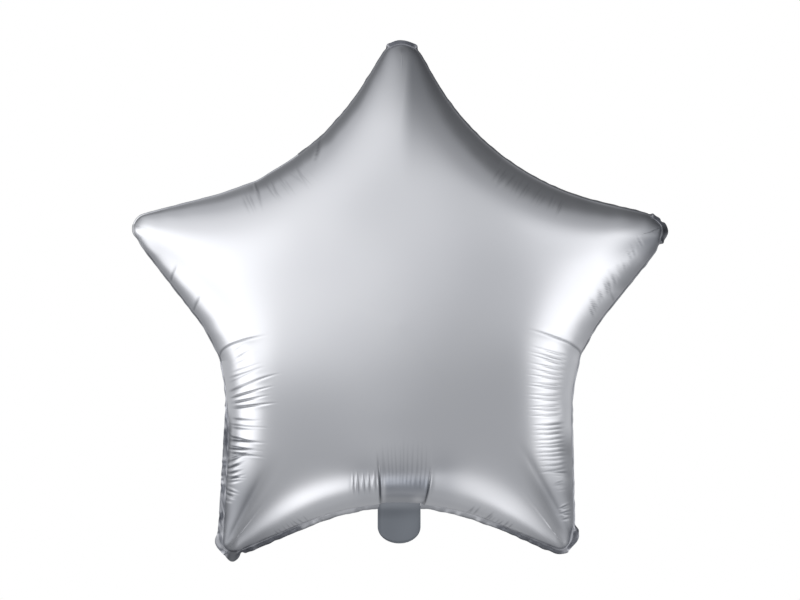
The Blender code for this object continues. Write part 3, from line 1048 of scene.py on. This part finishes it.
def satinGrainGroup():
    tree = bpy.data.node_groups.new("satinGrain", "ShaderNodeTree")
    for label, value in (("GrainScale", grainNoise["scale"]), ("CloudScale", grainNoise["cloudScale"])):
        socket = tree.interface.new_socket(label, in_out="INPUT", socket_type="NodeSocketFloat")
        socket.default_value = value
    for label in ("Grain", "Cloud"):
        tree.interface.new_socket(label, in_out="OUTPUT", socket_type="NodeSocketFloat")
    start, stop = tree.nodes.new("NodeGroupInput"), tree.nodes.new("NodeGroupOutput")
    place = tree.nodes.new("ShaderNodeTexCoord").outputs["Object"]
    for label, detail in (("Grain", grainNoise["detail"]), ("Cloud", grainNoise["cloudDetail"])):
        scale = start.outputs[label + "Scale"]
        noise = addNode(tree, "TexNoise", {"Vector": place, "Scale": scale, "Detail": detail})
        tree.links.new(noise.outputs["Fac"], stop.inputs[label])
    return tree


def newMaterial(name):
    material = bpy.data.materials.new(name)
    material.use_nodes = True
    return material, material.node_tree, material.node_tree.nodes["Principled BSDF"]


def giveMaterial(item, material):
    item.data.materials.clear()
    item.data.materials.append(material)


def mixColour(tree, factor, first, second):
    mix = tree.nodes.new("ShaderNodeMix")
    mix.data_type = "RGBA"
    connect(tree, mix, {"Factor": factor, "A": first, "B": second})
    return mix.outputs["Result"]


def carried(tree, label):
    # the value that a piece carries under this name, point by point
    attribute = tree.nodes.new("ShaderNodeAttribute")
    attribute.attribute_name = label
    return attribute.outputs["Fac"]


def grained(tree, finish):
    # the grain's outputs, and the film's colour with its slow changes
    grain = tree.nodes.new("ShaderNodeGroup")
    grain.node_tree = satinGrain
    return grain.outputs, mixColour(tree, grain.outputs["Cloud"], finish["colour"], finish["cloudColour"])


def streaked(tree, colour, streaks):
    # short streaks of painted light and painted shade across the weld, for the crumples of its edge
    place = tree.nodes.new("ShaderNodeUVMap")
    place.uv_map = "alongWeld"
    slant = tree.nodes.new("ShaderNodeMapping")
    slant.vector_type = "TEXTURE"
    connect(tree, slant, {"Vector": place.outputs["UV"], "Rotation": (0, 0, streaks["slant"]),
                          "Scale": streaks["scale"]})
    low, high = streaks["reach"]
    noise = addNode(tree, "TexNoise", {"Vector": slant.outputs["Vector"], "Scale": 1.0,
                                       "Detail": streaks["detail"]})
    sharper = addNode(tree, "MapRange", {"Value": noise.outputs["Fac"], "From Min": low, "From Max": high})
    streak = mixColour(tree, sharper.outputs["Result"], streaks["dark"], streaks["light"])
    return mixColour(tree, carried(tree, "weldStreak"), colour, streak)


def satinFoil(name, finish):
    material, tree, shader = newMaterial(name)
    grain, colour = grained(tree, finish)
    if "streaks" in finish:
        colour = streaked(tree, colour, finish["streaks"])
    # painted shade and painted light mixed into the colour
    for label, tone in finish["toned"]:
        colour = mixColour(tree, carried(tree, label), colour, tone)
    glossy, duller = finish["roughness"]
    gloss = addNode(tree, "MapRange", {"Value": grain["Cloud"], "To Min": glossy, "To Max": duller})
    rougher = tree.nodes.new("ShaderNodeMath")
    rougher.operation = "MULTIPLY_ADD"
    connect(tree, rougher, {0: carried(tree, "tipShadeAndDull"), 1: finish["dullRoughness"],
                            2: gloss.outputs["Result"]})
    bump = addNode(tree, "Bump", {"Strength": finish["grainBump"], "Distance": finish["grainDepth"],
                                  "Height": grain["Grain"]})
    connect(tree, shader, {"Metallic": 1.0, "Base Color": colour, "Roughness": rougher.outputs["Value"],
                           "Normal": bump.outputs["Normal"]})
    return material


def clearFilm(name, finish):
    # the thin clear film of the valve inside the neck
    material, tree, shader = newMaterial(name)
    colour = grained(tree, finish)[1]
    connect(tree, shader, {"Base Color": colour, "Roughness": finish["roughness"], "Alpha": finish["alpha"]})
    return material


# The finish of each piece, and the values that it carries with the painted shade or painted light each one
# gives it.
foilFinish = dict(
    colour=(0.81, 0.82, 0.84, 1.0),
    cloudColour=(0.78, 0.79, 0.82, 1.0),
    roughness=(0.28, 0.31),
    dullRoughness=0.20,
    grainBump=0.05,
    grainDepth=0.0002,
    # painted shade near the tips and edges, near the neck and along the folds
    toned=(("tipShadeAndDull", (0.20, 0.21, 0.23, 1.0)), ("neckShade", (0.30, 0.32, 0.36, 1.0)),
           ("foldDark", (0.10, 0.11, 0.13, 1.0))),
)
weldFinish = dict(
    foilFinish,
    colour=(0.50, 0.51, 0.54, 1.0),
    cloudColour=(0.42, 0.43, 0.47, 1.0),
    # painted light and painted shade of the crumpled weld on the left leg's side
    streaks=dict(slant=0.20, scale=(0.0180, 0.0017, 1), detail=2.0, reach=(0.42, 0.58),
                 dark=(0.34, 0.35, 0.38, 1.0), light=(0.66, 0.67, 0.70, 1.0)),
    # painted light near the neck and the left tip, painted shade where folded back and along the bottom
    toned=(("weldPaintedLight", (0.84, 0.85, 0.87, 1.0)), ("weldShade", (0.12, 0.125, 0.135, 1.0))),
)
neckFinish = dict(
    foilFinish,
    colour=(0.22, 0.24, 0.265, 1.0),
    cloudColour=(0.20, 0.215, 0.24, 1.0),
    # painted light at its top, painted shade along its left edge
    toned=(("neckTopLight", (0.33, 0.35, 0.38, 1.0)), ("neckEdgeShade", (0.12, 0.13, 0.15, 1.0))),
)
valveFinish = dict(
    colour=(0.80, 0.83, 0.85, 1.0),
    cloudColour=(0.88, 0.90, 0.91, 1.0),
    roughness=0.30,
    alpha=0.5,
)

satinGrain = satinGrainGroup()
body, weld, neck = buildBody(), buildWeld(), buildNeck()
giveMaterial(body, satinFoil("satinFoil", foilFinish))
giveMaterial(weld, satinFoil("weldFoil", weldFinish))
giveMaterial(neck, satinFoil("neckFoil", neckFinish))
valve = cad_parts["valve_film"]
valveClear = clearFilm("valveClear", valveFinish)
for place in valve.material_slots:
    place.material = valveClear
valve.visible_glossy = False
print("materials given")


# Studio: a white tent with soft panels, a pale floor, and the camera level with the balloon.
studio = dict(
    floorLevel=-0.60,
    floorHalf=2.0,
    cameraDistance=2.0,
    cameraHeight=0.0205,
    widthSeen=0.712,         # metres across the picture at the balloon
    baseLight=0.43,
    shadeTint=(0.940, 0.965, 1.020, 1.0),
    lightTint=(0.995, 0.995, 1.010, 1.0),
    floorFinish={"Base Color": (0.92, 0.92, 0.92, 1), "Roughness": 0.8,
                 "Emission Color": (1, 1, 1, 1), "Emission Strength": 0.50},
    # direction round from the camera and up, half width and softness in degrees, strength;
    # a later panel covers an earlier one
    panels=dict(
        belowFront=((0, -72), 16, 8, 0.68),
        belowFrontLeft=((-12, -65), 11, 6, 1.65),
        belowFrontRight=((20, -58), 9, 6, 1.10),
        below=((180, -82), 15, 6, 0.50),
        lowBehindRight=((116, -14), 24, 12, 0.52),
        behindRight=((140, 0), 13, 8, 0.60),
        right=((88, -6), 13, 8, 1.12),
        lowRight=((90, -40), 10, 7, 1.20),
        highBehindRight=((132, 38), 33, 9, 0.13),
        behindLeft=((-140, -10), 26, 10, 0.54),
        highBehindLeft=((-138, 30), 24, 8, 0.22),
        highLeft=((-98, 60), 18, 8, 0.54),
        top=((20, 78), 20, 11, 0.17),
        upperFront=((-30, 27), 38, 19, 0.95),
        frontRight=((25, 28), 20, 16, 0.66),
        lowBehindLeft=((-88, -14), 21, 8, 1.55),
        leftBox=((-59, 6), 18, 9, 1.50),
        rightBoxLow=((70, -13), 14, 7, 1.50),
        rightBoxTop=((61, 21), 10, 6, 1.50),
        rightBox=((56, 1), 12, 7, 1.50),
    ),
)


def directionOf(turn, rise):
    turn, rise = math.radians(turn), math.radians(rise)
    return (math.sin(turn) * math.cos(rise), -math.cos(turn) * math.cos(rise), math.sin(rise))


def buildLight():
    world = bpy.data.worlds.new("softTent")
    bpy.context.scene.world = world
    world.use_nodes = True
    tree = world.node_tree
    tree.nodes.clear()
    place = tree.nodes.new("ShaderNodeTexCoord")
    level = tree.nodes.new("ShaderNodeValue")
    level.outputs[0].default_value = studio["baseLight"]
    current = level.outputs[0]
    for (turn, rise), half, soft, light in studio["panels"].values():
        facing = tree.nodes.new("ShaderNodeVectorMath")
        facing.operation = "DOT_PRODUCT"
        connect(tree, facing, {0: place.outputs["Generated"], 1: directionOf(turn, rise)})
        edge = tree.nodes.new("ShaderNodeMapRange")
        edge.interpolation_type = "SMOOTHSTEP"
        low, high = math.cos(math.radians(half + soft)), math.cos(math.radians(half - soft))
        connect(tree, edge, {"Value": facing.outputs["Value"], "From Min": low, "From Max": high})
        mix = tree.nodes.new("ShaderNodeMix")
        mix.data_type = "FLOAT"
        connect(tree, mix, {"Factor": edge.outputs["Result"], "A": current, "B": light})
        current = mix.outputs["Result"]
    tint = mixColour(tree, current, studio["shadeTint"], studio["lightTint"])
    tent = addNode(tree, "Background", {"Color": tint, "Strength": current})
    seen = addNode(tree, "Background", {"Color": (1, 1, 1, 1)})
    onlySeen = tree.nodes.new("ShaderNodeLightPath").outputs["Is Camera Ray"]
    choose = addNode(tree, "MixShader", {0: onlySeen, 1: tent.outputs[0], 2: seen.outputs[0]})
    addNode(tree, "OutputWorld", {0: choose.outputs[0]})


def buildFloor():
    deselectAll()
    bpy.ops.mesh.primitive_plane_add(size=2 * studio["floorHalf"], location=(0, 0, studio["floorLevel"]))
    floor = bpy.context.object
    floor.name = "floor"
    bpy.ops.object.transform_apply(location=True, rotation=True, scale=True)
    material, tree, shader = newMaterial("paleFloor")
    connect(tree, shader, studio["floorFinish"])
    giveMaterial(floor, material)
    floor.visible_glossy = False


def buildCamera():
    data = bpy.data.cameras.new("camera")
    camera = bpy.data.objects.new("camera", data)
    bpy.context.scene.collection.objects.link(camera)
    data.lens = data.sensor_width * studio["cameraDistance"] / studio["widthSeen"]
    camera.location = (0, -studio["cameraDistance"], studio["cameraHeight"])
    camera.rotation_euler = (math.radians(90), 0, 0)
    bpy.context.scene.camera = camera


buildLight()
buildFloor()
buildCamera()
bpy.context.scene.view_settings.view_transform = "Standard"
